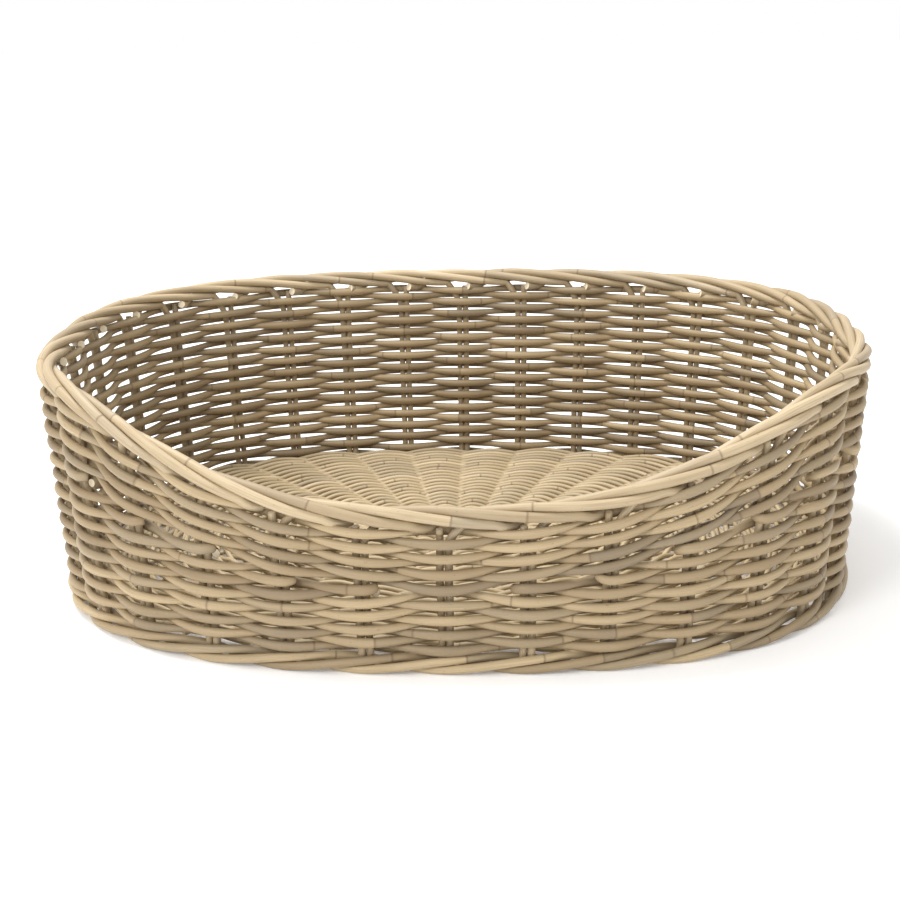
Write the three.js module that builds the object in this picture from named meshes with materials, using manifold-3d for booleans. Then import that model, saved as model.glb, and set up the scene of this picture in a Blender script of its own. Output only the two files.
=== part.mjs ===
// An oval pet bed basket of woven rattan rods.
//
// Pairs of upright rods (stakes) stand round an oval base.  Single rods (weavers) pass
// alternately outside and inside the stakes and make the wall.  Some weavers turn back round a
// stake near the front, so that the wall is higher at the back and the sides.  The top of each
// pair of stakes is laid down along the edge and turns round its neighbours: that is the rim.
// A three-rod wale round the bottom of the stakes is the foot that the basket stands on, and
// the base is a cross of sticks held in a woven oval.
//
// Units are millimetres and +Z is up.  The front, where the wall is low, faces -Y.  The origin
// is the middle of the object's box, on the surface that it stands on.
import * as THREE from "three";
import { mergeVertices } from "three/addons/utils/BufferGeometryUtils.js";
import Module from "manifold-3d";

const wasm = await Module();
wasm.setup();

// ---- Driving dimensions ----
const STAKES = 32; // pairs of uprights; number 0 is at the front, 8 at the +X end
const PLAN_POWER = 2.6; // 2 would be an ellipse; more squares the oval's shoulders
const RIM_HALF_LENGTH = 390; // to the rim's centre line, where the wall is highest
const RIM_HALF_DEPTH = 300;
const FOOT_HALF_LENGTH = 379; // to the middle of the wall, at the floor
const FOOT_HALF_DEPTH = 287;
const BACK_HEIGHT = 229; // of the rim's centre line
const FRONT_HEIGHT = 143;
const DIP_START = 0.55; // part of the half depth, towards the front, where the rim starts to fall
const DIP_POWER = 2.3;

const STAKE_RADIUS = 2.8;
const STAKE_SPREAD = 2.9; // of each rod of a pair, from the middle of the pair
const TOP_BELOW_RIM = 10; // from the rim's centre line to where the uprights are bent over
const STAKE_FOOT = 1; // height of the cut lower ends

const WEAVER_HALF_WIDTH = 3.1;
const WEAVER_HALF_HEIGHT = 2.55;
const WEAVE_OFFSET = 8; // from the middle of the wall to a weaver where it passes a stake
const FIRST_ROW = 25; // height of the lowest row's centre
const LAST_ROW_BELOW_RIM = 14.5;
const LOWER_ROWS = 8; // rows that go all round, below the packing rows
const UPPER_ROWS = 8; // rows that go all round, above them
const LOWER_SEAM = 24; // stake where the lower weavers start
const UPPER_SEAM = 8;
const CUT_END = 0.14; // of a stake interval, from the last stake to a weaver's cut end
const SEAM_GAP = 0.04; // half the gap between two weavers' ends in one interval
// Stakes, counted from the front, that each packing weaver turns back round.
const RIGHT_TURNS = [1, 2, 3, 4, 5, 6];
const LEFT_TURNS = [1, 2, 3, 4, 5, 7];
const TURN_RADIUS = 7.2; // of a packing weaver's turn, about the near rod of the pair

const BORDER_RADIUS = 5.8; // from the rim's centre line to the middle of each border strand
const STRAND_RADIUS = 3.6;
const BORDER_STEP = 0.4; // of an interval, between two sections of a strand
const BORDER_END = 3.6; // intervals that a strand runs along the rim

const WALE_RODS = 3;
const WALE_OFFSET = 7.1;
const WALE_LOW = 2.5; // heights of a wale rod: outside low, outside high, and inside
const WALE_HIGH = 13.3;
const WALE_INSIDE = 7.9;
const WALE_RISING = 10.2; // halfway from low to high, so that the next rod comes out underneath
const WALE_HALF_SIZE = 2.5;
const WALE_FLAT = 0.2; // of an interval, each side of a stake, where a rod lies on the floor
const WALE_SEAM = 16;

const BASE_MARGIN = 15; // from the middle of the wall to the woven base's edge
const BASE_BOTTOM = 9.5;
const BASE_TOP = 22.9;
const BASE_RING = 0.56; // size of the inner woven oval, as part of the base
const BASE_RING_GAP = 0.003; // between the inner and outer ovals, as part of the base
const STICK_RADIUS = 2.5;
const LONG_STICK_HEIGHT = 19;
const CROSS_STICK_HEIGHT = 13;
const LONG_STICKS = [-62, 0, 62]; // their distances from the middle
const CROSS_STICKS = [-216, -108, 0, 108, 216];
const LONG_STICK_MARGIN = 12; // from the middle of the wall to a stick's end
const CROSS_STICK_MARGIN = 16;
const GAP = 0.3; // between pieces that touch

const UP = new THREE.Vector3(0, 0, 1);
const rattan = (color, roughness = 0.62) =>
  new THREE.MeshStandardMaterial({ color, roughness, metalness: 0 });
const finish = {
  stake: rattan(0xa48f6b),
  weaver: rattan(0xb7a17a),
  foot: rattan(0xad9872),
  stick: rattan(0x9d8662),
  base: rattan(0xb39d74),
};

// ---- The oval plan ----
// A point of the plan at an angle: a superellipse whose half sizes grow in a straight line with
// height, moved out from the middle of the wall by `out`.
function unitPlan(angle) {
  const c = Math.cos(angle);
  const s = Math.sin(angle);
  const r = (Math.abs(c) ** PLAN_POWER + Math.abs(s) ** PLAN_POWER) ** (-1 / PLAN_POWER);
  return { x: r * c, y: r * s };
}

function halfSizes(z) {
  const rise = z / BACK_HEIGHT;
  return {
    a: FOOT_HALF_LENGTH + (RIM_HALF_LENGTH - FOOT_HALF_LENGTH) * rise,
    b: FOOT_HALF_DEPTH + (RIM_HALF_DEPTH - FOOT_HALF_DEPTH) * rise,
  };
}

function outward(angle) {
  const p = unitPlan(angle);
  const { a, b } = halfSizes(0);
  const k = PLAN_POWER - 1;
  const x = (Math.sign(p.x) * Math.abs(p.x) ** k) / a;
  const y = (Math.sign(p.y) * Math.abs(p.y) ** k) / b;
  return new THREE.Vector3(x, y, 0).normalize();
}

function wallPoint(angle, z, out = 0) {
  const p = unitPlan(angle);
  const { a, b } = halfSizes(z);
  return new THREE.Vector3(a * p.x, b * p.y, z).addScaledVector(outward(angle), out);
}

// Angles of the stakes, spaced evenly along the oval at half height.  `place` counts stakes
// from the front, towards +X, and may be a fraction.
const stakeAngle = (() => {
  const samples = 1440;
  const angles = [];
  const lengths = [0];
  for (let i = 0; i <= samples; i += 1) angles.push(-Math.PI / 2 + (2 * Math.PI * i) / samples);
  const points = angles.map((angle) => wallPoint(angle, BACK_HEIGHT / 2));
  for (let i = 1; i <= samples; i += 1) {
    lengths.push(lengths[i - 1] + points[i].distanceTo(points[i - 1]));
  }
  const spacing = lengths[samples] / STAKES;
  return (place) => {
    const turns = Math.floor(place / STAKES);
    const target = (place - turns * STAKES) * spacing;
    let low = 0;
    let high = samples;
    while (high - low > 1) {
      const middle = (low + high) >> 1;
      if (lengths[middle] <= target) low = middle;
      else high = middle;
    }
    const part = (target - lengths[low]) / (lengths[high] - lengths[low]);
    return angles[low] + (angles[high] - angles[low]) * part + 2 * Math.PI * turns;
  };
})();

// Height of the rim's centre line: level at the back and sides, falling to the front.
function rimHeight(place) {
  const forward = -unitPlan(stakeAngle(place)).y;
  const dip = THREE.MathUtils.clamp((forward - DIP_START) / (1 - DIP_START), 0, 1);
  return BACK_HEIGHT - (BACK_HEIGHT - FRONT_HEIGHT) * dip ** DIP_POWER;
}

// ---- Swept rods ----
// A path with a station at each section.  The sections turn with the path and keep their
// second axis as near to `reference` as they can, so a rod never twists.
class RodPath extends THREE.Curve {
  constructor(stations, references) {
    super();
    this.stations = stations;
    this.references = references;
  }

  getPoint(t, target = new THREE.Vector3()) {
    return target.copy(this.stations[Math.round(t * (this.stations.length - 1))]);
  }

  getPointAt(t, target) {
    return this.getPoint(t, target);
  }

  computeFrenetFrames() {
    const last = this.stations.length - 1;
    const frames = { tangents: [], normals: [], binormals: [] };
    this.stations.forEach((_, i) => {
      const tangent = this.stations[Math.min(i + 1, last)].clone();
      tangent.sub(this.stations[Math.max(i - 1, 0)]).normalize();
      const binormal = this.references[i].clone();
      binormal.addScaledVector(tangent, -binormal.dot(tangent)).normalize();
      frames.tangents.push(tangent);
      frames.binormals.push(binormal);
      frames.normals.push(new THREE.Vector3().crossVectors(binormal, tangent));
    });
    return frames;
  }
}

function polygon(sides, radius, turn = 0) {
  const shape = new THREE.Shape();
  for (let i = 0; i < sides; i += 1) {
    const angle = turn + (2 * Math.PI * i) / sides;
    const corner = [radius * Math.cos(angle), radius * Math.sin(angle)];
    if (i === 0) shape.moveTo(...corner);
    else shape.lineTo(...corner);
  }
  return shape;
}

function rectangle(halfWidth, halfHeight) {
  const shape = new THREE.Shape();
  shape.moveTo(-halfWidth, -halfHeight);
  shape.lineTo(halfWidth, -halfHeight);
  shape.lineTo(halfWidth, halfHeight);
  shape.lineTo(-halfWidth, halfHeight);
  return shape;
}

function sweep(section, stations, references = stations.map(() => UP)) {
  return new THREE.ExtrudeGeometry(section, {
    steps: stations.length - 1,
    extrudePath: new RodPath(stations, references),
  });
}

// ---- Joining and cutting ----
function toSolid(geometry) {
  const bare = geometry.clone();
  bare.deleteAttribute("normal");
  bare.deleteAttribute("uv");
  const merged = mergeVertices(bare, 1e-4);
  return new wasm.Manifold(
    new wasm.Mesh({
      numProp: 3,
      vertProperties: new Float32Array(merged.attributes.position.array),
      triVerts: new Uint32Array(merged.index.array),
    }),
  );
}

function toGeometry(solid) {
  const mesh = solid.getMesh();
  const geometry = new THREE.BufferGeometry();
  geometry.setAttribute("position", new THREE.BufferAttribute(mesh.vertProperties, 3));
  geometry.setIndex(new THREE.BufferAttribute(mesh.triVerts, 1));
  return geometry;
}

const join = (geometries) =>
  toGeometry(geometries.map(toSolid).reduce((whole, piece) => whole.add(piece)));

const basket = new THREE.Group();
const numbered = (name, number) => `${name}_${String(number).padStart(2, "0")}`;

function addPiece(name, geometry, material) {
  const mesh = new THREE.Mesh(geometry, material);
  mesh.name = name;
  basket.add(mesh);
}

// ---- Stake pairs: two uprights, whose tops are laid down together as one border strand ----
// A point of the rim: `turn` is the angle round the rim's centre line, 0 outside and 90 degrees
// on top, and `radius` the distance from it.
function rimPoint(place, turn, radius) {
  const angle = stakeAngle(place);
  const centre = wallPoint(angle, rimHeight(place));
  const step = 0.05;
  const along = wallPoint(stakeAngle(place + step), rimHeight(place + step));
  along.sub(wallPoint(stakeAngle(place - step), rimHeight(place - step))).normalize();
  const out = outward(angle);
  out.addScaledVector(along, -out.dot(along)).normalize();
  const up = new THREE.Vector3().crossVectors(out, along).normalize();
  return {
    point: centre.addScaledVector(out, radius * Math.cos(turn)).addScaledVector(
      up,
      radius * Math.sin(turn),
    ),
    out,
  };
}

function borderStrand(stake) {
  const angle = stakeAngle(stake);
  const top = rimHeight(stake);
  const stations = [
    wallPoint(angle, top - 15),
    wallPoint(stakeAngle(stake + 0.01), top - 9.5),
  ];
  const references = [outward(angle), outward(angle)];
  const places = [0.12];
  for (let run = BORDER_STEP; run < BORDER_END + BORDER_STEP / 2; run += BORDER_STEP) {
    places.push(run);
  }
  for (const run of places) {
    // The strand starts below the centre line, then goes inside, over the top and down outside.
    const turn = -(Math.PI / 2) * (1 + run);
    const { point, out } = rimPoint(stake + run, turn, BORDER_RADIUS);
    stations.push(point);
    references.push(out);
  }
  return sweep(polygon(5, STRAND_RADIUS), stations, references);
}

// The outline of two round rods side by side, which touch at a shallow waist.
function pairOutline() {
  const shape = new THREE.Shape();
  const far = STAKE_SPREAD + STAKE_RADIUS;
  const corner = STAKE_RADIUS * Math.SQRT1_2;
  const waist = STAKE_RADIUS * 0.6;
  const quarter = [[far, corner], [STAKE_SPREAD + corner / 2, STAKE_RADIUS]];
  shape.moveTo(0, -waist);
  quarter.toReversed().forEach(([x, y]) => shape.lineTo(x, -y));
  quarter.forEach(([x, y]) => shape.lineTo(x, y));
  shape.lineTo(0, waist);
  quarter.toReversed().forEach(([x, y]) => shape.lineTo(-x, y));
  quarter.forEach(([x, y]) => shape.lineTo(-x, -y));
  return shape;
}

for (let stake = 0; stake < STAKES; stake += 1) {
  const angle = stakeAngle(stake);
  const top = rimHeight(stake) - TOP_BELOW_RIM;
  const out = outward(angle);
  const ends = [STAKE_FOOT, top].map((z) => wallPoint(angle, z));
  const uprights = sweep(pairOutline(), ends, [out, out]);
  const pair = join([uprights, borderStrand(stake)]);
  addPiece(numbered("stake_pair", stake + 1), pair, finish.stake);
}

// ---- The wall's weavers ----
// Packing weavers are numbered from the bottom.  One is there at a stake if the stake is at or
// behind the two stakes that it turns back round.
function packingRowsAt(stake) {
  const fromFront = ((stake % STAKES) + STAKES) % STAKES;
  const onRight = fromFront <= STAKES / 2;
  const distance = onRight ? fromFront : STAKES - fromFront;
  const turns = onRight ? RIGHT_TURNS : LEFT_TURNS;
  return 2 * turns.filter((turn) => turn <= distance).length;
}

// Height of a row at a stake.  The rows that are there share the height between the foot and
// the rim evenly.  Rows are numbered from 0, packing rows between the lower and upper ones.
const PACKING_ROWS = 2 * RIGHT_TURNS.length;
function rowHeight(row, stake) {
  const packing = packingRowsAt(stake);
  const above = row >= LOWER_ROWS + PACKING_ROWS ? packing - PACKING_ROWS : 0;
  const rows = LOWER_ROWS + UPPER_ROWS + packing;
  const room = rimHeight(stake) - LAST_ROW_BELOW_RIM - FIRST_ROW;
  return FIRST_ROW + (room * (row + above)) / (rows - 1);
}

const sideOf = (row, stake) => ((row + stake) % 2 === 0 ? 1 : -1);
const weaverSection = rectangle(WEAVER_HALF_WIDTH, WEAVER_HALF_HEIGHT);

function weaverStation(row, stake) {
  const side = sideOf(row, ((stake % STAKES) + STAKES) % STAKES);
  return wallPoint(stakeAngle(stake), rowHeight(row, stake), side * WEAVE_OFFSET);
}

const between = (from, to, part) => from.clone().lerp(to, part);

// A weaver that makes two rounds.  It steps up by two rows where it passes its starting stake,
// because a second weaver fills the rows between.
function twoRoundWeaver(row, seam, first, last) {
  const stations = [];
  for (let stake = 0; stake < STAKES; stake += 1) stations.push(weaverStation(row, seam + stake));
  for (let stake = 0; stake < STAKES; stake += 1) {
    stations.push(weaverStation(row + 2, seam + stake));
  }
  const start = stations[0];
  const end = stations[stations.length - 1];
  // A cut end stands a little past its stake; elsewhere the next weaver carries on.
  const before = weaverStation(first ? row : row - 2, seam - 1);
  if (first) before.z = start.z;
  stations.unshift(between(start, before, first ? CUT_END : 0.5 - SEAM_GAP));
  const after = weaverStation(last ? row + 2 : row + 4, seam + STAKES);
  if (last) after.z = end.z;
  stations.push(between(end, after, last ? CUT_END : 0.5 - SEAM_GAP));
  return sweep(weaverSection, stations);
}

// A packing weaver starts at its left stake, goes round the back to its right stake, turns
// round that one and comes back on the next row.  Both its cut ends are at the left stake.
function packingWeaver(row, rightStake, leftStake) {
  const stations = [];
  for (let stake = leftStake; stake >= rightStake; stake -= 1) {
    stations.push(weaverStation(row, stake));
  }
  stations.push(...turnBack(row, row + 1, rightStake, -1));
  for (let stake = rightStake + 1; stake <= leftStake; stake += 1) {
    stations.push(weaverStation(row + 1, stake));
  }
  return sweep(weaverSection, stations);
}

// The turn from one row to another round a stake pair, on the side `towards` (-1 or 1) of it.
function turnBack(fromRow, toRow, stake, towards) {
  const angle = stakeAngle(stake);
  const out = outward(angle);
  const along = new THREE.Vector3().crossVectors(UP, out);
  const side = sideOf(fromRow, ((stake % STAKES) + STAKES) % STAKES);
  const low = rowHeight(fromRow, stake);
  const high = rowHeight(toRow, stake);
  const stations = [];
  for (const part of [0.25, 0.5, 0.75]) {
    const turn = Math.PI * (0.5 - part);
    const point = wallPoint(angle, low + (high - low) * part);
    point.addScaledVector(along, towards * (STAKE_SPREAD + TURN_RADIUS * Math.cos(turn)));
    point.addScaledVector(out, side * TURN_RADIUS * Math.sin(turn));
    stations.push(point);
  }
  stations.push(weaverStation(toRow, stake));
  return stations;
}

let weaver = 0;
function addWeaver(geometry) {
  weaver += 1;
  addPiece(numbered("wall_weaver", weaver), geometry, finish.weaver);
}

for (let row = 0; row < LOWER_ROWS; row += 4) {
  const first = row === 0;
  const last = row + 4 === LOWER_ROWS;
  for (const offset of [0, 1]) {
    addWeaver(twoRoundWeaver(row + offset, LOWER_SEAM, first, last));
  }
}
RIGHT_TURNS.forEach((turn, i) => {
  addWeaver(packingWeaver(LOWER_ROWS + 2 * i, turn, STAKES - LEFT_TURNS[i]));
});
for (let row = LOWER_ROWS + PACKING_ROWS; row < LOWER_ROWS + PACKING_ROWS + UPPER_ROWS; row += 4) {
  const first = row === LOWER_ROWS + PACKING_ROWS;
  for (const offset of [0, 1]) {
    addWeaver(twoRoundWeaver(row + offset, UPPER_SEAM, first, !first));
  }
}

// ---- The foot: a wale of three rods, each outside two stakes and inside the third ----
function waleRod(number) {
  const stations = [];
  const place = (at, z, out) => stations.push(wallPoint(stakeAngle(at), z, out));
  for (let step = 0; step < STAKES; step += 1) {
    const stake = WALE_SEAM + step;
    const phase = (((step - number) % WALE_RODS) + WALE_RODS) % WALE_RODS;
    if (phase === 0) {
      for (const part of [-1, -0.5, 0.5, 1]) {
        place(stake + part * WALE_FLAT, WALE_LOW, WALE_OFFSET);
      }
      place(stake + 0.5, WALE_RISING, WALE_OFFSET);
    } else if (phase === 1) {
      place(stake, WALE_HIGH, WALE_OFFSET);
    } else {
      place(stake, WALE_INSIDE, -WALE_OFFSET);
    }
  }
  return sweep(rectangle(WALE_HALF_SIZE, WALE_HALF_SIZE), stations);
}
for (let rod = 0; rod < WALE_RODS; rod += 1) {
  addPiece(numbered("foot_rod", rod + 1), waleRod(rod), finish.foot);
}

// ---- The base: sticks that cross, held in two woven ovals ----
// Half the width of the base at a distance from its middle, along the other axis.
function halfSpan(distance, halfAcross, halfAlong) {
  return halfAlong * (1 - Math.abs(distance / halfAcross) ** PLAN_POWER) ** (1 / PLAN_POWER);
}
const { a: floorLength, b: floorDepth } = halfSizes(LONG_STICK_HEIGHT);

function stick(alongX, distance, height, margin, radius) {
  const span = alongX
    ? halfSpan(distance, floorDepth, floorLength) - margin
    : halfSpan(distance, floorLength, floorDepth) - margin;
  const ends = [-span, span].map((at) =>
    alongX ? new THREE.Vector3(at, distance, height) : new THREE.Vector3(distance, at, height),
  );
  return sweep(polygon(6, radius, Math.PI / 6), ends);
}
const sticks = [
  ...LONG_STICKS.map((y) => [true, y, LONG_STICK_HEIGHT, LONG_STICK_MARGIN]),
  ...CROSS_STICKS.map((x) => [false, x, CROSS_STICK_HEIGHT, CROSS_STICK_MARGIN]),
];

function ovalOutline(shape, scale, margin) {
  const corners = 48;
  for (let i = 0; i < corners; i += 1) {
    const angle = (2 * Math.PI * i) / corners;
    const edge = wallPoint(angle, LONG_STICK_HEIGHT, -margin).multiplyScalar(scale);
    if (i === 0) shape.moveTo(edge.x, edge.y);
    else shape.lineTo(edge.x, edge.y);
  }
  return shape;
}

function wovenOval(outer, inner) {
  const shape = ovalOutline(new THREE.Shape(), outer, BASE_MARGIN);
  if (inner > 0) shape.holes.push(ovalOutline(new THREE.Path(), inner, BASE_MARGIN));
  const plate = new THREE.ExtrudeGeometry(shape, {
    depth: BASE_TOP - BASE_BOTTOM,
    bevelEnabled: false,
  });
  plate.translate(0, 0, BASE_BOTTOM);
  // Each stick lies in a channel a little wider than itself.
  const reach = -2 * CROSS_STICK_MARGIN;
  return toGeometry(
    sticks.reduce(
      (solid, [alongX, at, height]) =>
        solid.subtract(toSolid(stick(alongX, at, height, reach, STICK_RADIUS + 2 * GAP))),
      toSolid(plate),
    ),
  );
}

sticks.forEach(([alongX, at, height, margin], i) => {
  const name = alongX ? "base_long_stick" : "base_cross_stick";
  const number = alongX ? i + 1 : i + 1 - LONG_STICKS.length;
  addPiece(`${name}_${number}`, stick(alongX, at, height, margin, STICK_RADIUS), finish.stick);
});
addPiece("base_weave_inner", wovenOval(BASE_RING, 0), finish.base);
addPiece("base_weave_outer", wovenOval(1, BASE_RING + BASE_RING_GAP), finish.base);

// ---- Stand the basket on its own bottom centre ----
const box = new THREE.Box3().setFromObject(basket);
basket.position.set(-(box.min.x + box.max.x) / 2, -(box.min.y + box.max.y) / 2, -box.min.z);

export default basket;
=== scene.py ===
# %% [markdown]
# # An oval wicker bed basket for a pet
#
# The basket is woven from rattan rods. Pairs of upright stakes stand round an oval base,
# single rods go in and out between them to make the wall, and the tops of the stakes are laid
# down along the edge as a rolled rim. The front is low so that an animal can step in.
#
# Wicker could be one shell with a woven pattern on it, but its outline would be smooth and no
# light would come between the rods. Here each rod is swept along a centre line that is written
# as a formula, so that it passes its neighbours the way a basket maker leads it. Lengths are
# worked out in millimetres and turned into metres when a mesh is made.

import bpy
import numpy as np
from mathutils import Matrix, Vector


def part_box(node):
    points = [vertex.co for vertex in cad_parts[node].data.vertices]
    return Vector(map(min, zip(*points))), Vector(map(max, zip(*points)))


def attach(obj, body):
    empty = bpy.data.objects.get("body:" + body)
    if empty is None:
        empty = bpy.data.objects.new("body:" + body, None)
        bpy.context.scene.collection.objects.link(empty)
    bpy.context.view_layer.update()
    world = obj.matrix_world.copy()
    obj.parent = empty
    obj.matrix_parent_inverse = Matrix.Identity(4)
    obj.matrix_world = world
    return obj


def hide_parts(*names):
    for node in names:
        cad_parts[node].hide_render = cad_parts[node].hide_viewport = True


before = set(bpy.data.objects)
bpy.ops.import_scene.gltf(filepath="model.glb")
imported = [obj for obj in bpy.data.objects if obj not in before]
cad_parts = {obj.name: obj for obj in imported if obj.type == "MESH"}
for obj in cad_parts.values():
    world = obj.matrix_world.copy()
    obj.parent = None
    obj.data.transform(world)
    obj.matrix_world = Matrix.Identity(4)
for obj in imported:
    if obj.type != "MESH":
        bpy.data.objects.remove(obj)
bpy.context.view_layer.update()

# %% [markdown]
# ## The basket's measures
#
# The plan is a superellipse, which is an oval with slightly square shoulders. A plain ellipse
# would be simpler, but a bed basket has fuller corners. The plan's half sizes grow a little
# with height, because the wall leans out.

# %% Measures
STAKES = 32  # pairs of uprights; number 0 is at the front and 8 at the +X end
PLAN_POWER = 2.6
RIM_HALF = np.array([390.0, 300.0])
FOOT_HALF = np.array([379.0, 287.0])
BACK_HEIGHT = 229.0  # of the rim's centre line
FRONT_HEIGHT = 143.0
DIP_START = 0.55  # share of the way to the front where the rim begins to drop
DIP_POWER = 2.3

STAKE_RADIUS = 3.4
STAKE_SPREAD = 3.55  # from the middle of a pair to each of its two rods
WEAVE_OFFSET = 7.8  # from the wall's middle to a weaver as it passes a stake pair
WEAVER_WIDTH = 3.6
WEAVER_LOW = 3.5  # half height where two rows cross, between stakes
WEAVER_TALL = 4.6  # half height where a row passes a stake
FIRST_ROW = 23.0
LAST_ROW_BELOW_RIM = 13.4
LOWER_ROWS = 8
UPPER_ROWS = 8
LOWER_SEAM = 24  # the stake where the lower weavers start and end, at the -X end
UPPER_SEAM = 8
RIGHT_TURNS = np.array([1, 2, 3, 4, 5, 6])
LEFT_TURNS = np.array([1, 2, 3, 4, 5, 7])
PACKING_ROWS = 2 * len(RIGHT_TURNS)

BORDER_RADIUS = 6.1  # from the rim's centre line to the middle of a strand
STRAND_RADIUS = 4.4
FOOT_RADIUS = 3.9
ROD_SIDES = 10
FINE_SIDES = 12
WORN_EDGE = 0.35
GRAIN_LENGTH = 9000.0  # a rod's grain starts anywhere in this length

MILLIMETRE = 0.001

low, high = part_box("base_weave_outer")
PLAN_CENTRE = np.array([low.x + high.x, low.y + high.y]) / 2 / MILLIMETRE
print("plan centre in mm:", PLAN_CENTRE.round(2))

# %% [markdown]
# ## The oval plan
#
# Every rod is placed by three numbers: its place along the wall, counted in stakes from the
# front, its height, and its distance outside the middle of the wall. Plain x and y would do
# too, but a maker counts stakes, and so the weave's pattern is a short formula.


# %% Plan
def unit_plan(angle, power=PLAN_POWER):
    """The unit superellipse: r = (|cos|^n + |sin|^n)^(-1/n), x = r cos, y = r sin."""
    c, s = np.cos(angle), np.sin(angle)
    radius = (np.abs(c) ** power + np.abs(s) ** power) ** (-1 / power)
    return np.stack([radius * c, radius * s], -1)


def half_sizes(height):
    """The oval's half sizes at a height: a straight line from the foot's to the rim's."""
    rise = np.asarray(height, float)[..., None] / BACK_HEIGHT
    return FOOT_HALF + (RIM_HALF - FOOT_HALF) * rise


def outward(angle):
    """The wall's level normal: (sign x |x|^(n-1) / a, sign y |y|^(n-1) / b), made unit."""
    plan = unit_plan(angle)
    normal = np.sign(plan) * np.abs(plan) ** (PLAN_POWER - 1) / FOOT_HALF
    normal /= np.linalg.norm(normal, axis=-1, keepdims=True)
    return np.concatenate([normal, np.zeros(normal.shape[:-1] + (1,))], -1)


def wall_point(angle, height, out=0.0):
    """A point of the wall: the plan point at its height, moved out along the normal."""
    angle, height, out = np.broadcast_arrays(angle, height, out)
    flat = unit_plan(angle) * half_sizes(height)
    return np.concatenate([flat, height[..., None]], -1) + outward(angle) * out[..., None]


SAMPLES = 1441
sample_angles = np.linspace(-0.5 * np.pi, 1.5 * np.pi, SAMPLES)
sample_steps = np.diff(wall_point(sample_angles, BACK_HEIGHT / 2), axis=0)
sample_lengths = np.concatenate([[0], np.cumsum(np.linalg.norm(sample_steps, axis=1))])
SPACING = sample_lengths[-1] / STAKES


def stake_angle(place):
    """The angle of a place along the wall, so that stakes are spaced evenly."""
    turns = np.floor_divide(place, STAKES)
    part = (place - turns * STAKES) * SPACING
    return np.interp(part, sample_lengths, sample_angles) + 2 * np.pi * turns


def rim_height(place):
    """Level at the back and sides; the dip grows as a power of the distance to the front."""
    forward = -unit_plan(stake_angle(np.asarray(place, float)))[..., 1]
    dip = np.clip((forward - DIP_START) / (1 - DIP_START), 0, 1)
    return BACK_HEIGHT - (BACK_HEIGHT - FRONT_HEIGHT) * dip**DIP_POWER


def through(values, places):
    """A smooth curve through values at whole places (Catmull-Rom)."""
    values = np.asarray(values, float)
    index = np.clip(np.floor(places).astype(int), 0, len(values) - 2)
    t = (places - index)[(...,) + (None,) * (values.ndim - 1)]
    before = values[np.maximum(index - 1, 0)]
    here, there = values[index], values[index + 1]
    after = values[np.minimum(index + 2, len(values) - 1)]
    slope_here, slope_there = (there - before) / 2, (after - here) / 2
    curve = here * (2 * t**3 - 3 * t**2 + 1) + there * (3 * t**2 - 2 * t**3)
    return curve + slope_here * (t**3 - 2 * t**2 + t) + slope_there * (t**3 - t**2)


print(f"stakes stand {SPACING:.1f} mm apart")

# %% [markdown]
# ## Rods
#
# A rod is a round section carried along a centre line. Its section is an oval that may change
# along the way, and both cut ends are closed flat with a small worn edge. A curve with a round
# bevel would be quicker, but it has no oval section and no map in true lengths. A rod's map has
# the distance along it and the distance round it, in metres, so that the grain runs with the
# rod. Each rod also has one number of its own, `rod_tone`, from which its colour comes.

# %% Rods
rng = np.random.default_rng(11)
UP = np.array([0.0, 0.0, 1.0])


def wander(count, size, waves):
    """A slow curve of a given size: a sum of three sines with chosen phases."""
    t = np.linspace(0, 1, count)
    phases = rng.uniform(0, 2 * np.pi, 3)
    rates = waves * np.array([1.0, 1.9, 3.3])
    return size * (np.sin(2 * np.pi * rates * t[:, None] + phases) / [1, 2, 3]).sum(1)


def directions(centres, reference):
    """Unit tangent, side and up; up is the reference made square to the tangent."""
    tangent = np.gradient(centres, axis=0)
    tangent /= np.linalg.norm(tangent, axis=1, keepdims=True)
    up = reference - tangent * (reference * tangent).sum(1, keepdims=True)
    up /= np.linalg.norm(up, axis=1, keepdims=True)
    return tangent, np.cross(tangent, up), up


def with_ends(first, values, last):
    """The values with one more before them and one more after them."""
    return np.concatenate([[first], values, [last]])


def rod_faces(rings, sides):
    """Quads from each ring to the next, and a cap on each end, all facing outwards."""
    start = (np.arange(rings - 1) * sides)[:, None]
    here = np.arange(sides)
    there = (here + 1) % sides
    quads = np.stack([start + here, start + sides + here, start + sides + there, start + there], -1)
    caps = np.stack([here, (rings - 1) * sides + here[::-1]])
    return quads.reshape(-1, 4), caps


def rod_map(along, around):
    """Each quad's four corners: the distance along the rod and the distance round it."""
    near, far = along[:-1, None], along[1:, None]
    u = np.stack([near, far, far, near], -1)
    v = np.stack([around[:-1], around[:-1], around[1:], around[1:]], -1)[None]
    return np.stack(np.broadcast_arrays(u, v), -1).reshape(-1, 2)


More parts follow.
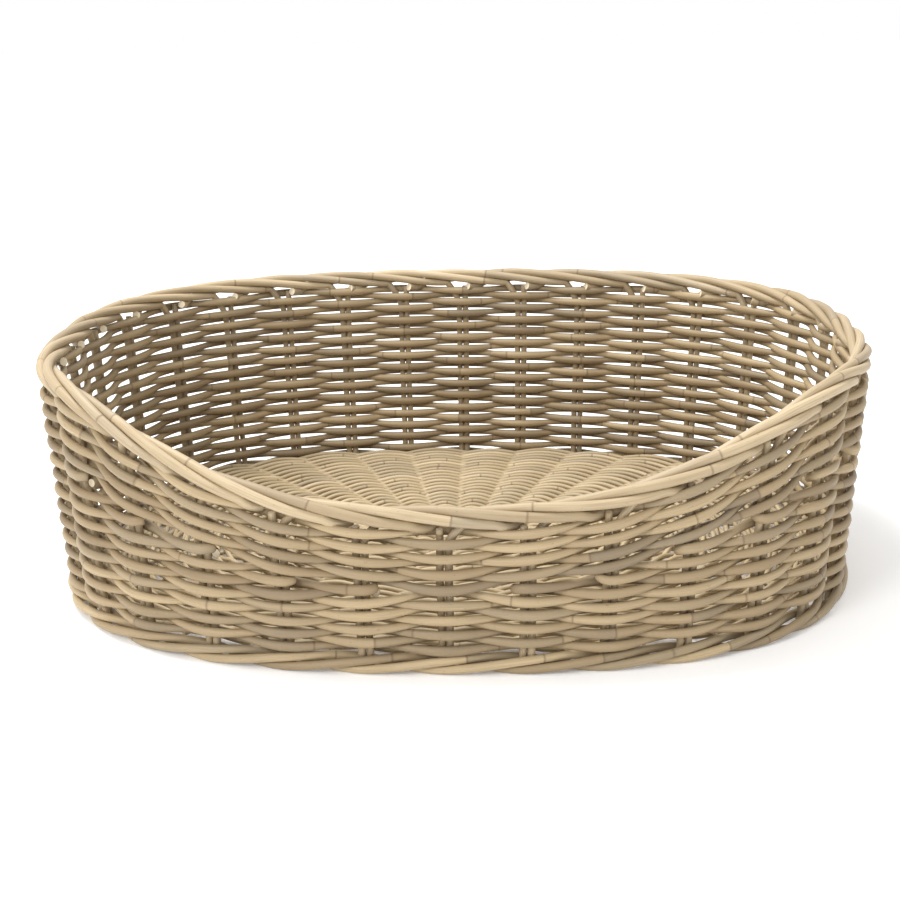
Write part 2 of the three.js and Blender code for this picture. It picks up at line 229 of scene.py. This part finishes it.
def rod(centres, half_width, half_height, reference, sides=ROD_SIDES):
    """A closed rod: centre + half width * side * cos + half height * up * sin."""
    wide = np.broadcast_to(half_width, len(centres))
    tall = np.broadcast_to(half_height, len(centres))
    tangent, side, up = directions(centres, np.broadcast_to(reference, centres.shape))
    steps = np.linalg.norm(np.diff(centres, axis=0), axis=1)
    along = np.concatenate([[0], np.cumsum(steps)])

    before = centres[0] - tangent[0] * WORN_EDGE
    after = centres[-1] + tangent[-1] * WORN_EDGE
    centres = with_ends(before, centres, after)
    side = with_ends(side[0], side, side[-1])
    up = with_ends(up[0], up, up[-1])
    wide = with_ends(wide[0] - WORN_EDGE, wide, wide[-1] - WORN_EDGE)
    tall = with_ends(tall[0] - WORN_EDGE, tall, tall[-1] - WORN_EDGE)
    along = with_ends(-WORN_EDGE, along, along[-1] + WORN_EDGE)

    turn = np.arange(sides) * 2 * np.pi / sides
    ring = side[:, None] * (wide[:, None] * np.cos(turn))[..., None]
    ring = ring + up[:, None] * (tall[:, None] * np.sin(turn))[..., None]
    around = np.arange(sides + 1) * 2 * np.pi / sides * tall.mean()
    quads, caps = rod_faces(len(centres), sides)
    return {
        "points": (centres[:, None] + ring).reshape(-1, 3),
        "quads": quads,
        "caps": caps,
        "map": rod_map(along + rng.uniform(0, GRAIN_LENGTH), around),
        "tone": rng.uniform(0, 1),
    }


print(f"a rod has {ROD_SIDES} sides, a fine one {FINE_SIDES}")

# %% [markdown]
# ## From rods to a piece
#
# A sub-part of the basket is one object, which may hold one rod or a whole layer of them. The
# faces could be given one by one with a loop, which is slow for so many rods; here they go
# into the mesh as whole arrays. The caps of the rods are marked, so that a cut end can have
# another colour and stays flat while the sides are shaded smooth.


# %% Pieces
def rod_mesh(name, rods):
    """One mesh of closed rods: their quads first and then their caps."""
    counts = np.array([len(r["points"]) for r in rods])
    offsets = np.cumsum(counts) - counts
    points = np.concatenate([r["points"] for r in rods]) * MILLIMETRE
    points[:, :2] += PLAN_CENTRE * MILLIMETRE
    quads = np.concatenate([r["quads"] + offset for r, offset in zip(rods, offsets)])
    caps = [cap + offset for r, offset in zip(rods, offsets) for cap in r["caps"]]
    sizes = np.array([4] * len(quads) + [len(cap) for cap in caps])
    loops = np.concatenate([quads.ravel(), *caps])
    mesh = bpy.data.meshes.new(name)
    mesh.vertices.add(len(points))
    mesh.vertices.foreach_set("co", points.astype(np.float32).ravel())
    mesh.loops.add(len(loops))
    mesh.loops.foreach_set("vertex_index", loops.astype(np.int32))
    mesh.polygons.add(len(sizes))
    mesh.polygons.foreach_set("loop_start", (np.cumsum(sizes) - sizes).astype(np.int32))
    cut = np.repeat([0.0, 1.0], [len(quads), len(caps)])
    mesh.polygons.foreach_set("use_smooth", cut == 0)
    mesh.update(calc_edges=True)

    uv = np.zeros((len(loops), 2))
    uv[: quads.size] = np.concatenate([r["map"] for r in rods]) * MILLIMETRE
    layer = mesh.uv_layers.new(name="length_and_round")
    layer.data.foreach_set("uv", uv.astype(np.float32).ravel())
    tones = np.repeat([r["tone"] for r in rods], counts)
    mesh.attributes.new("rod_tone", "FLOAT", "POINT").data.foreach_set("value", tones)
    mesh.attributes.new("cut_end", "FLOAT", "FACE").data.foreach_set("value", cut)
    return mesh


def add_piece(name, rods, node, material):
    """One object of closed rods, which stands for one node of the frame."""
    mesh = rod_mesh(name, rods)
    mesh.materials.append(material)
    mesh.validate()
    piece = bpy.data.objects.new(name, mesh)
    bpy.context.scene.collection.objects.link(piece)
    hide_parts(node)
    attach(piece, "root")
    return piece


print("a piece holds its rods' quads and then their caps")

# %% [markdown]
# ## Rattan
#
# Peeled rattan is straw coloured, with long faint grain, and a dark ring with a slight ridge
# every hand's width where a leaf grew. From one ring to the next the colour changes a little.
# A cut end is pale and rough. Wood grain is often made on Object coordinates, but on a bent
# rod it would not follow the bend. So one node group makes all of this from the rod's own map,
# and three materials differ only in how light and how grey they are.


# %% Shader helpers
def math(tree, operation, *inputs):
    """A math node with its inputs linked, or set if they are plain numbers."""
    node = tree.nodes.new("ShaderNodeMath")
    node.operation = operation
    for socket, value in zip(node.inputs, inputs):
        if isinstance(value, bpy.types.NodeSocket):
            tree.links.new(value, socket)
        else:
            socket.default_value = value
    return node.outputs[0]


def noise(tree, vector, scale, detail=2.0):
    """Noise from 0 to 1 in the map's metres, stretched by scale along and round the rod."""
    mapping = tree.nodes.new("ShaderNodeMapping")
    mapping.inputs["Scale"].default_value = scale
    texture = tree.nodes.new("ShaderNodeTexNoise")
    texture.inputs["Scale"].default_value = 1.0
    texture.inputs["Detail"].default_value = detail
    tree.links.new(vector, mapping.inputs["Vector"])
    tree.links.new(mapping.outputs[0], texture.inputs["Vector"])
    return texture.outputs["Fac"]


def mix(tree, share, first, second):
    """A colour between two colours; inputs 6 and 7 are a colour mix's A and B."""
    node = tree.nodes.new("ShaderNodeMix")
    node.data_type = "RGBA"
    for socket, value in zip((node.inputs[0], node.inputs[6], node.inputs[7]), (share, first, second)):
        if isinstance(value, bpy.types.NodeSocket):
            tree.links.new(value, socket)
        else:
            socket.default_value = value
    return node.outputs[2]


def past(tree, value, level, gain):
    """How far a value is past a level, times the gain, and never less than 0."""
    over = math(tree, "MULTIPLY", math(tree, "SUBTRACT", value, level), gain)
    return math(tree, "MAXIMUM", over, 0.0)


print("helpers:", [helper.__name__ for helper in (math, noise, mix, past)])

# %% Leaf rings and peel
JOINT_SPACING = 0.17  # metres from one leaf ring to the next
JOINT_UNEVEN = 0.9
JOINT_SHARPNESS = 110.0
SEED_STEP = 91.0  # keeps the lengths of two rods from having the same numbers
GRAIN_BROWN = (0.27, 0.19, 0.10, 1)
PIT_BROWN = (0.16, 0.10, 0.05, 1)
RING_BROWN = (0.13, 0.08, 0.04, 1)
CUT_PALE = (0.78, 0.68, 0.50, 1)


def leaf_rings(tree, vector, tone):
    """A mark at each leaf ring, and a random number for each length between two rings.

    Steps are the length over the spacing, plus slow noise. The mark is 1 less the sharpness
    times the distance to the nearest whole step.
    """
    split = tree.nodes.new("ShaderNodeSeparateXYZ")
    tree.links.new(vector, split.inputs[0])
    uneven = math(tree, "MULTIPLY", noise(tree, vector, (2.0, 0.0, 0.0)), JOINT_UNEVEN)
    steps = math(tree, "ADD", math(tree, "DIVIDE", split.outputs[0], JOINT_SPACING), uneven)
    cell = math(tree, "FLOOR", steps)
    part = math(tree, "SUBTRACT", steps, cell)
    edge = math(tree, "MINIMUM", part, math(tree, "SUBTRACT", 1.0, part))
    mark = math(tree, "SUBTRACT", 1.0, math(tree, "MULTIPLY", edge, JOINT_SHARPNESS))
    random = tree.nodes.new("ShaderNodeTexWhiteNoise")
    random.noise_dimensions = "1D"
    seed = math(tree, "ADD", cell, math(tree, "MULTIPLY", tone, SEED_STEP))
    tree.links.new(seed, random.inputs["W"])
    return math(tree, "MAXIMUM", mark, 0.0), random.outputs["Value"]


def attribute(tree, name):
    """A number that the mesh carries."""
    node = tree.nodes.new("ShaderNodeAttribute")
    node.attribute_name = name
    return node.outputs["Fac"]


def rattan_group():
    """The node group: three colours in; colour, roughness and height out."""
    tree = bpy.data.node_groups.new("rattan_peel", "ShaderNodeTree")
    for label in ("Pale", "Deep", "Grey"):
        tree.interface.new_socket(label, in_out="INPUT", socket_type="NodeSocketColor")
    tree.interface.new_socket("Color", in_out="OUTPUT", socket_type="NodeSocketColor")
    for label in ("Roughness", "Height"):
        tree.interface.new_socket(label, in_out="OUTPUT", socket_type="NodeSocketFloat")
    given = tree.nodes.new("NodeGroupInput")
    result = tree.nodes.new("NodeGroupOutput")
    rod_uv = tree.nodes.new("ShaderNodeUVMap")
    rod_uv.uv_map = "length_and_round"
    vector = rod_uv.outputs[0]
    tone, cut = attribute(tree, "rod_tone"), attribute(tree, "cut_end")
    ring, random = leaf_rings(tree, vector, tone)
    grain = noise(tree, vector, (26.0, 900.0, 0.0), detail=3.0)
    cloud = noise(tree, vector, (11.0, 60.0, 0.0), detail=3.0)
    speck = noise(tree, vector, (260.0, 420.0, 0.0), detail=2.0)

    deeper = math(tree, "MULTIPLY", tone, 0.55)
    deeper = math(tree, "ADD", deeper, math(tree, "MULTIPLY", random, 0.3))
    deeper = math(tree, "ADD", deeper, math(tree, "MULTIPLY", cloud, 0.5))
    deeper = math(tree, "SUBTRACT", deeper, 0.22)
    greyer = math(tree, "MULTIPLY", past(tree, random, level=0.55, gain=1.1), cloud)
    greyer = math(tree, "MULTIPLY", greyer, 1.6)
    streak = past(tree, grain, level=0.42, gain=1.7)
    pits = math(tree, "MINIMUM", past(tree, speck, level=0.66, gain=5.0), 0.6)
    colour = mix(tree, deeper, given.outputs["Pale"], given.outputs["Deep"])
    colour = mix(tree, greyer, colour, given.outputs["Grey"])
    colour = mix(tree, streak, colour, GRAIN_BROWN)
    colour = mix(tree, pits, colour, PIT_BROWN)
    colour = mix(tree, math(tree, "MULTIPLY", ring, 0.6), colour, RING_BROWN)
    colour = mix(tree, cut, colour, CUT_PALE)
    tree.links.new(colour, result.inputs["Color"])

    rough = math(tree, "ADD", 0.42, math(tree, "MULTIPLY", cloud, 0.22))
    rough = math(tree, "ADD", rough, math(tree, "MULTIPLY", cut, 0.3))
    tree.links.new(rough, result.inputs["Roughness"])
    height = math(tree, "ADD", math(tree, "MULTIPLY", grain, 0.5), math(tree, "MULTIPLY", ring, 1.5))
    height = math(tree, "SUBTRACT", height, math(tree, "MULTIPLY", pits, 0.8))
    tree.links.new(height, result.inputs["Height"])
    return tree


peel = rattan_group()
print(peel.name, "has", len(peel.nodes), "nodes")


# %% Materials
def rattan(name, pale, deep, grey):
    """A rattan material with its own three colours."""
    material = bpy.data.materials.new(name)
    material.use_nodes = True
    tree = material.node_tree
    shader = tree.nodes["Principled BSDF"]
    group = tree.nodes.new("ShaderNodeGroup")
    group.node_tree = peel
    group.inputs["Pale"].default_value = (*pale, 1)
    group.inputs["Deep"].default_value = (*deep, 1)
    group.inputs["Grey"].default_value = (*grey, 1)
    bump = tree.nodes.new("ShaderNodeBump")
    bump.inputs["Strength"].default_value = 0.5
    bump.inputs["Distance"].default_value = 0.0004
    tree.links.new(group.outputs["Color"], shader.inputs["Base Color"])
    tree.links.new(group.outputs["Roughness"], shader.inputs["Roughness"])
    tree.links.new(group.outputs["Height"], bump.inputs["Height"])
    tree.links.new(bump.outputs["Normal"], shader.inputs["Normal"])
    shader.inputs["Specular IOR Level"].default_value = 0.45
    return material


wall_rattan = rattan("wall_rattan", (0.50, 0.385, 0.225), (0.18, 0.12, 0.06), (0.19, 0.165, 0.125))
rim_rattan = rattan("rim_rattan", (0.54, 0.43, 0.275), (0.27, 0.195, 0.105), (0.31, 0.265, 0.20))
base_rattan = rattan("base_rattan", (0.56, 0.445, 0.275), (0.33, 0.245, 0.13), (0.33, 0.28, 0.20))
print("materials:", [material.name for material in (wall_rattan, rim_rattan, base_rattan)])

# %% [markdown]
# ## Stake pairs and the rolled rim
#
# Two rods stand side by side at each stake. One is cut off under the rim. The other is laid
# down along the rim: it goes inside, over the top, down outside and under its neighbours, and
# its cut end shows inside, below the rim. Led like this, four strands always lie side by side
# round the rim's centre line, and that is what makes the rim look twisted. A twisted rope of
# four long rods would look much the same from afar, but it would not grow out of the stakes.

# %% Stakes and rim
STAKE_KNOTS = 40
SHORT_BELOW_RIM = 10.0
BEND_KNOTS = 3  # left out at the top of the long rod, so that it bends over smoothly
RUN_START = 0.22
RUN_LAID = 3.6  # stakes passed before the cut end leaves the rim
RUN_END = 3.9
TAIL_TURN = np.radians(82)
TAIL_REACH = 6.6


def rim_point(place, turn, radius):
    """A point round the rim's centre line: centre + r cos(turn) out + r sin(turn) up."""
    angle = stake_angle(place)
    centre = wall_point(angle, rim_height(place))
    step = 0.05
    ahead = wall_point(stake_angle(place + step), rim_height(place + step))
    behind = wall_point(stake_angle(place - step), rim_height(place - step))
    along = (ahead - behind) / np.linalg.norm(ahead - behind, axis=1, keepdims=True)
    out = outward(angle)
    out = out - along * (out * along).sum(1, keepdims=True)
    out /= np.linalg.norm(out, axis=1, keepdims=True)
    up = np.cross(out, along)
    cos, sin = np.cos(turn)[:, None], np.sin(turn)[:, None]
    return centre + radius[:, None] * (out * cos + up * sin), out


def rim_strand(stake):
    """A strand from its stake along the rim.

    Its turn round the rim's centre line is a quarter for each stake passed, and its cut end
    swings out of the rim.
    """
    run = np.concatenate([np.linspace(RUN_START, RUN_LAID, 90), np.linspace(RUN_LAID + 0.03, RUN_END, 12)])
    tail = np.clip((run - RUN_LAID) / (RUN_END - RUN_LAID), 0, 1)
    turn = -(np.pi / 2) * (1 + np.minimum(run, RUN_LAID)) - TAIL_TURN * tail
    orbit = BORDER_RADIUS + wander(len(run), size=0.25, waves=2.0) + TAIL_REACH * tail
    return rim_point(stake + run, turn, orbit)


def stake_rods(stake):
    """The two rods of a stake pair: the short one, and the one that runs on in the rim."""
    angle = stake_angle(float(stake))
    out = outward(np.array([angle]))[0]
    along = np.array([-out[1], out[0], 0.0])
    heights = np.linspace(1.0, rim_height(float(stake)) - SHORT_BELOW_RIM, STAKE_KNOTS)
    middle = wall_point(np.full(STAKE_KNOTS, angle), heights)
    sway = wander(STAKE_KNOTS, size=0.25, waves=1.0)[:, None]
    left = middle - along * STAKE_SPREAD + along * sway
    left += out * wander(STAKE_KNOTS, size=0.2, waves=1.0)[:, None]
    radius = STAKE_RADIUS * rng.uniform(0.95, 1.05)
    short = rod(left, radius, radius, out)

    sway = wander(STAKE_KNOTS - BEND_KNOTS, size=0.25, waves=1.0)[:, None]
    upright = middle[:-BEND_KNOTS] + along * (STAKE_SPREAD + sway)
    strand, strand_out = rim_strand(stake)
    knots = np.concatenate([upright, strand])
    knot_out = np.concatenate([np.broadcast_to(out, upright.shape), strand_out])
    fine = np.linspace(0, len(knots) - 1, 2 * len(knots))
    path = through(knots, fine)
    path[2:-2] = (path[:-4] + path[1:-3] + path[2:-2] + path[3:-1] + path[4:]) / 5
    thickening = np.clip((fine - 34) / 12, 0, 1)  # from knot 34 to knot 46, in the bend
    thick = rng.uniform(0.95, 1.04)
    size = (STAKE_RADIUS + (STRAND_RADIUS - STAKE_RADIUS) * thickening) * thick
    long = rod(path, size, size, through(knot_out, fine), sides=FINE_SIDES)
    return [short, long]


for stake in range(STAKES):
    piece = add_piece(
        f"stakes_{stake + 1:02d}",
        stake_rods(stake),
        f"stake_pair_{stake + 1:02d}",
        rim_rattan,
    )
print(STAKES, "stake pairs,", len(piece.data.polygons), "faces each")

# %% [markdown]
# ## The wall's weavers
#
# A weaver passes outside one stake pair and inside the next, so its distance from the wall's
# middle is a cosine of its place. The rows above and below do the opposite. With an even
# number of stakes the maker works two weavers in turn, each two rows up after a round. Packing
# weavers go only part of the way: they turn back round a stake pair near the front, each a
# stake further back than the last, and so lift the wall at the back and the sides. Closed rings
# would be simpler to make, but no real rod is a ring, and the ends show where a row begins.

# %% Rows
SECTIONS = 14  # of a weaver, in a stake interval
ROUND_END = 0.498  # just short of half way to the next stake, where two weavers meet
END_STEP = 0.25  # so that two cut ends don't lie right above one another
SWELL_POWER = 1.3


def packing_rows_at(stake):
    """How many packing rows there are at a stake: two for each turn passed from the front."""
    from_front = np.mod(stake, STAKES)
    right = 2 * np.searchsorted(RIGHT_TURNS, from_front, side="right")
    left = 2 * np.searchsorted(LEFT_TURNS, STAKES - from_front, side="right")
    return np.where(from_front <= STAKES / 2, right, left)


def row_height(row, stake):
    """The rows at a stake share evenly the height from the first row to the last one."""
    packing = packing_rows_at(stake)
    above = np.where(row >= LOWER_ROWS + PACKING_ROWS, packing - PACKING_ROWS, 0)
    rows = LOWER_ROWS + UPPER_ROWS + packing
    room = rim_height(stake) - LAST_ROW_BELOW_RIM - FIRST_ROW
    return FIRST_ROW + room * (row + above) / (rows - 1)


print("rows at the front:", LOWER_ROWS + UPPER_ROWS, "and at the back:", end=" ")
print(LOWER_ROWS + UPPER_ROWS + int(packing_rows_at(STAKES / 2)))


# %% Weavers
def weaver_rod(place, height, out):
    """A weaver through places, heights and distances out, with a little natural wander."""
    count = len(place)
    waves = max(1.0, count / 120)
    height = height + wander(count, size=0.55, waves=waves)
    centres = wall_point(stake_angle(place), height, out + wander(count, size=0.2, waves=waves))
    thick = rng.uniform(0.92, 1.06) + wander(count, size=0.035, waves=waves)
    swell = np.abs(np.cos(np.pi * place)) ** SWELL_POWER
    tall = (WEAVER_LOW + (WEAVER_TALL - WEAVER_LOW) * swell) * thick
    return rod(centres, WEAVER_WIDTH * thick, tall, UP)


def two_round_weaver(row, seam, first, last):
    """A weaver of two rounds; its height steps up two rows in the last interval of each."""
    stakes = np.arange(-1, 2 * STAKES + 1)
    rows = row + 2 * (stakes >= STAKES) - 2 * ((stakes < 0) & (not first))
    rows = rows + 2 * ((stakes >= 2 * STAKES) & (not last))
    heights = row_height(rows, seam + stakes)
    begin = -0.5 + END_STEP * (row % 2) if first else -ROUND_END
    end = 2 * STAKES - 0.5 - END_STEP * (1 - row % 2) if last else 2 * STAKES - 1 + ROUND_END
    place = np.linspace(begin, end, int((end - begin) * SECTIONS))
    height = through(heights, place + 1)
    out = WEAVE_OFFSET * np.cos(np.pi * (place + seam + row))
    return weaver_rod(place + seam, height, out)


def packing_weaver(row, right, left):
    """Two rows joined by a half turn round the right stake pair, closed round the left one."""
    stakes = np.arange(right - 2, left + 3)
    low, high = row_height(row, stakes), row_height(row + 1, stakes)
    low[:2], high[:2] = low[2], high[2]
    low[-2:], high[-2:] = low[-3], high[-3]
    place = np.linspace(right, left, (left - right) * SECTIONS + 1)
    level = place - (right - 2)
    low_out = WEAVE_OFFSET * np.cos(np.pi * (place + row))
    reach = (STAKE_SPREAD + WEAVE_OFFSET) / SPACING

    swing = np.linspace(0, np.pi, 13)[1:-1]
    turn_low, turn_high = row_height(row, right), row_height(row + 1, right)
    turn_place = right - reach * np.sin(swing)
    turn_out = np.cos(np.pi * (right + row)) * WEAVE_OFFSET * np.cos(swing)
    turn_height = turn_low + (turn_high - turn_low) * (1 - np.cos(swing)) / 2

    close = np.linspace(0, 1.35, 7)[1:]  # radians round the left stake pair
    end_place = left + reach * np.sin(close)
    end_out = np.cos(np.pi * (left + row)) * WEAVE_OFFSET * np.cos(close)
    low_end = np.full(len(close), low[-1])
    high_end = np.full(len(close), high[-1])
    places = [end_place[::-1], place[::-1], turn_place, place, end_place]
    heights = [low_end, through(low, level)[::-1], turn_height, through(high, level), high_end]
    outs = [end_out[::-1], low_out[::-1], turn_out, -low_out, -end_out]
    return weaver_rod(np.concatenate(places), np.concatenate(heights), np.concatenate(outs))


weavers = []
for row in range(0, LOWER_ROWS, 4):
    for offset in (0, 1):
        weavers.append(two_round_weaver(row + offset, LOWER_SEAM, row == 0, row + 4 == LOWER_ROWS))
for number, (right, left) in enumerate(zip(RIGHT_TURNS, STAKES - LEFT_TURNS)):
    weavers.append(packing_weaver(LOWER_ROWS + 2 * number, int(right), int(left)))
top_rows = LOWER_ROWS + PACKING_ROWS
for row in range(top_rows, top_rows + UPPER_ROWS, 4):
    for offset in (0, 1):
        weavers.append(two_round_weaver(row + offset, UPPER_SEAM, row == top_rows, row > top_rows))
for number, weaver in enumerate(weavers, 1):
    add_piece(f"weaver_{number:02d}", [weaver], f"wall_weaver_{number:02d}", wall_rattan)
print(len(weavers), "weavers")

# %% [markdown]
# ## The foot
#
# Three thicker rods go round the bottom of the stakes together. Each passes outside two stake
# pairs, rising as it goes, then inside the third, and comes out again underneath the others.
# This wale locks the bottom ends of the stakes, and the basket stands on it. A plain ring of
# thick rod would hold a stand too, but it would miss the slanting strokes that a wale shows.

# %% Foot
FOOT_SEAM = 16  # the stake at the middle of the back
FOOT_OVERRUN = 0.495
FOOT_OUT = 7.4
FOOT_LEVEL = 8.7
FOOT_SWING = 4.8
WALE = 3  # rods, and stakes in one stroke of a rod


def foot_rod(number):
    """Out and height both repeat every three stakes; the height is a slow sine."""
    sections = int((STAKES + 2 * FOOT_OVERRUN) * SECTIONS)
    place = np.linspace(-FOOT_OVERRUN, STAKES - 1 + FOOT_OVERRUN, sections)
    phase = np.mod(place - number, WALE)
    out = through(np.array([-1.0, 1.0, 1.0, -1.0, 1.0, 1.0]) * FOOT_OUT, phase + 1)
    height = FOOT_LEVEL - FOOT_SWING * np.cos(2 * np.pi * (phase + 0.25) / WALE)
    centres = wall_point(stake_angle(place + FOOT_SEAM), height, out)
    size = FOOT_RADIUS * (1 + wander(len(place), size=0.02, waves=8.0))
    return rod(centres, size, size, UP, sides=FINE_SIDES)


for number in range(WALE):
    node = f"foot_rod_{number + 1:02d}"
    piece = add_piece(f"foot_{number + 1}", [foot_rod(number)], node, wall_rattan)
print(WALE, "foot rods,", len(piece.data.polygons), "faces each")

# %% [markdown]
# ## The base
#
# Eight pairs of sticks cross under the middle and fan out like spokes. Thinner rods are woven
# round them: a rod goes over one spoke and under the next, and the next rod does the
# opposite, which gives the floor its rows of scales. A flat oval with a woven bump would be
# lighter, but the scales cast small shadows that only real rods give.

# %% Base
RINGS = 50
RING_SECTIONS = 10  # in a stake interval
RING_SHIFT = 5.0  # stakes from the seam of one ring to the seam of the next
BASE_EDGE = np.array([367.0, 275.0])
RIDGE = np.array([104.0, 12.0])  # the half sizes of the innermost ring
BASE_LEVEL = 16.3
HUMP = 3.9
FULL_HUMP_WIDTH = 20.0  # between spokes; where they are closer the humps are lower
LOWEST_HUMP = 0.25
RING_ROD = 2.65
SPOKE_RADIUS = 2.2
SPOKE_LAYER = 2.4  # the long sticks lie this far above the middle, the cross sticks below
SPOKE_TIP = (16.0, -5.0)  # height and distance out of a stick's end
SPOKE_KNOTS = 30


def base_point(place, share):
    """A ring from the base's edge (share 0) to the ridge (share 1), at a place's angle."""
    angle = stake_angle(place)
    power = PLAN_POWER + (2 - PLAN_POWER) * share
    half = BASE_EDGE + (RIDGE - BASE_EDGE) * share[..., None]
    return unit_plan(angle, power) * half


def base_ring(number):
    """A thin rod that rises over a spoke and dips under the next: a sine of the place."""
    share = number / (RINGS - 1)
    place = np.linspace(0, STAKES, STAKES * RING_SECTIONS + 1) + RING_SHIFT * number
    shares = np.full(len(place), share)
    flat = base_point(place, shares)
    width = np.linalg.norm(base_point(place + 0.5, shares) - base_point(place - 0.5, shares), axis=1)
    size = HUMP * np.clip(width / FULL_HUMP_WIDTH, LOWEST_HUMP, 1)
    side = 1 if number % 2 == 0 else -1
    height = BASE_LEVEL + side * size * np.sin(np.pi * place)
    height = height + wander(len(place), size=0.15, waves=9.0)
    centres = np.column_stack([flat, height])
    thick = RING_ROD * rng.uniform(0.93, 1.05)
    return rod(centres, thick, thick, UP, sides=6)


inner_rings = [base_ring(number) for number in range(RINGS // 2, RINGS)]
outer_rings = [base_ring(number) for number in range(RINGS // 2)]
for name, rings in (("inner", inner_rings), ("outer", outer_rings)):
    piece = add_piece(f"base_{name}", rings, f"base_weave_{name}", base_rattan)
    print(piece.name, len(rings), "rods,", len(piece.data.polygons), "faces")


# %% Sticks
def spoke_stick(start, finish, lift):
    """A stick from one edge through the ridge to the far edge, lifted at the ridge."""
    share = np.linspace(0, 1, SPOKE_KNOTS)
    near = base_point(np.full(SPOKE_KNOTS, start), share)
    far = base_point(np.full(SPOKE_KNOTS, finish), share)
    tip_near = wall_point(stake_angle(start), *SPOKE_TIP)[:2]
    tip_far = wall_point(stake_angle(finish), *SPOKE_TIP)[:2]
    flat = np.concatenate([[tip_near], near, far[::-1], [tip_far]])
    rise = np.concatenate([[0], share**6, share[::-1] ** 6, [0]]) * lift
    knots = np.column_stack([flat, BASE_LEVEL + rise])
    path = through(knots, np.linspace(0, len(knots) - 1, 5 * SPOKE_KNOTS))
    return rod(path, SPOKE_RADIUS, SPOKE_RADIUS, UP, sides=8)


def stick_pair(first, far_side, lift):
    """Two sticks a stake apart, each from its place to the place mirrored across the base."""
    return [spoke_stick(start, far_side - start, lift) for start in (first, first + 1.0)]


for number in range(5):
    rods = stick_pair(2 * number - 4.5, STAKES // 2, -SPOKE_LAYER)
    node = f"base_cross_stick_{number + 1}"
    add_piece(f"cross_sticks_{number + 1}", rods, node, base_rattan)
for number in range(3):
    rods = stick_pair(2 * number + 5.5, STAKES, SPOKE_LAYER)
    node = f"base_long_stick_{number + 1}"
    add_piece(f"long_sticks_{number + 1}", rods, node, base_rattan)
print("8 pairs of sticks, with", SPOKE_KNOTS, "knots from the edge to the ridge")

# %% [markdown]
# ## Floor and light
#
# The basket stands on a plain white floor under soft lights. A picture of a studio could light
# the scene as well, but two square lights and an even white sky are easier to change. The
# floor glows a very little, so that it stays white where the basket takes light from it.

# %% Floor
FLOOR_WHITE = 0.93
FLOOR_GLOW = 0.12

floor_mesh = bpy.data.meshes.new("floor")
floor_mesh.from_pydata([(-9, -6, 0), (9, -6, 0), (9, 14, 0), (-9, 14, 0)], [], [(0, 1, 2, 3)])
floor = bpy.data.objects.new("floor", floor_mesh)
bpy.context.scene.collection.objects.link(floor)
floor_paint = bpy.data.materials.new("floor_paint")
floor_paint.use_nodes = True
floor_shader = floor_paint.node_tree.nodes["Principled BSDF"]
floor_shader.inputs["Base Color"].default_value = (FLOOR_WHITE, FLOOR_WHITE, FLOOR_WHITE, 1)
floor_shader.inputs["Roughness"].default_value = 0.9
floor_shader.inputs["Emission Color"].default_value = (1, 1, 1, 1)
floor_shader.inputs["Emission Strength"].default_value = FLOOR_GLOW
floor_mesh.materials.append(floor_paint)
print("floor:", [round(size) for size in floor.dimensions], "m")

# %% Light
world = bpy.data.worlds.new("studio")
bpy.context.scene.world = world
world.use_nodes = True
world.node_tree.nodes["Background"].inputs["Color"].default_value = (1, 1, 1, 1)
world.node_tree.nodes["Background"].inputs["Strength"].default_value = 1.0


def soft_light(name, place, aim, size, power):
    """A square soft light that faces a point."""
    data = bpy.data.lights.new(name, "AREA")
    data.size = size
    data.energy = power
    light = bpy.data.objects.new(name, data)
    direction = np.array(aim, float) - np.array(place, float)
    light.location = place
    light.rotation_euler = Vector(direction).to_track_quat("-Z", "Y").to_euler()
    bpy.context.scene.collection.objects.link(light)
    print(name, "light:", power, "W")


soft_light("overhead", place=(-0.7, 0.3, 2.4), aim=(0, 0, 0), size=1.0, power=56)
soft_light("front_left", place=(-1.5, -2.2, 1.9), aim=(0, 0, 0.1), size=0.9, power=36)

bpy.context.scene.view_settings.view_transform = "Standard"

# %% [markdown]
# ## Camera
#
# The basket is seen from the front and above, from about a metre and a half away. A camera can
# be aimed with a constraint, but this one is also rolled and turned a little, so its three axes
# are worked out and put into its matrix as columns.

# %% Camera
DISTANCE = 1.4025  # metres in front of the basket's middle
HEIGHT = 0.5563
ASIDE = -0.0014
PITCH = 0.3097  # radians
ROLL = -0.0177
YAW = -0.0031
ROUND = -0.0384  # how far the camera is turned round the basket
SENSOR = 36.0  # mm
LENS = 57.266  # mm

swing = -ROUND
eye = np.array([ASIDE, -DISTANCE, HEIGHT])
forward = np.array([np.sin(YAW) * np.cos(PITCH), np.cos(YAW) * np.cos(PITCH), -np.sin(PITCH)])
right = np.array([np.cos(YAW), -np.sin(YAW), 0.0])
up = np.cross(right, forward)
right, up = right * np.cos(ROLL) + up * np.sin(ROLL), up * np.cos(ROLL) - right * np.sin(ROLL)
turned = np.array([[np.cos(swing), -np.sin(swing), 0], [np.sin(swing), np.cos(swing), 0], [0, 0, 1]])
axes = turned @ np.column_stack([right, up, -forward])
eye = turned @ eye + np.array([*PLAN_CENTRE * MILLIMETRE, 0])
camera_data = bpy.data.cameras.new("camera")
camera_data.sensor_width = SENSOR
camera_data.lens = LENS
camera_data.dof.use_dof = False
camera = bpy.data.objects.new("camera", camera_data)
placed = np.eye(4)
placed[:3, :3] = axes
placed[:3, 3] = eye
camera.matrix_world = Matrix(placed.tolist())
bpy.context.scene.collection.objects.link(camera)
bpy.context.scene.camera = camera
print("camera at", eye.round(3), "lens", round(camera_data.lens, 1))
